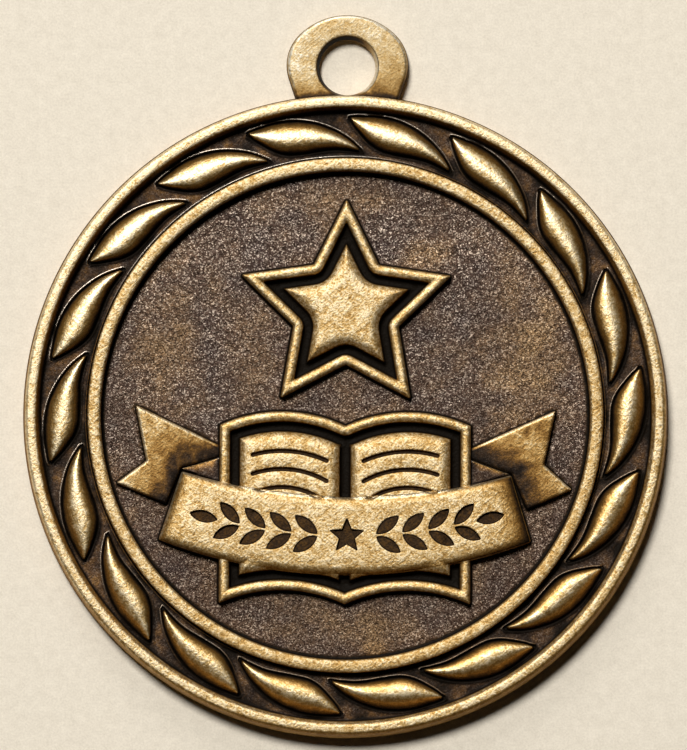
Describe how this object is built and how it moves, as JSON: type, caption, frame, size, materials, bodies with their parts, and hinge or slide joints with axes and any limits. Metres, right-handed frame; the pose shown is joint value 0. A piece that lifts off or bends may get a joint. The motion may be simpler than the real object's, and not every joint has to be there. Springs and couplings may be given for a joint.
{
  "type": "academic award medal with hanging loop",
  "caption": "Round cast award medal with a raised rim, a band of leaves, a star above an open book behind a curved ribbon, and a hanging loop.",
  "frame": {"origin": "centre of the round disc, on its flat back face", "axes": "+Z out of the struck face, +Y from the disc's centre to the hanging loop, +X to the right of the emblem"},
  "size_m": [0.0506, 0.0569, 0.0023],
  "materials": {
    "bronze": "antiqued bronze-gold plating on a zinc casting: bright worn tops, brown-black in the recesses, stippled field"
  },
  "bodies": {
    "root": {"medal": "bronze"}
  },
  "joints": []
}
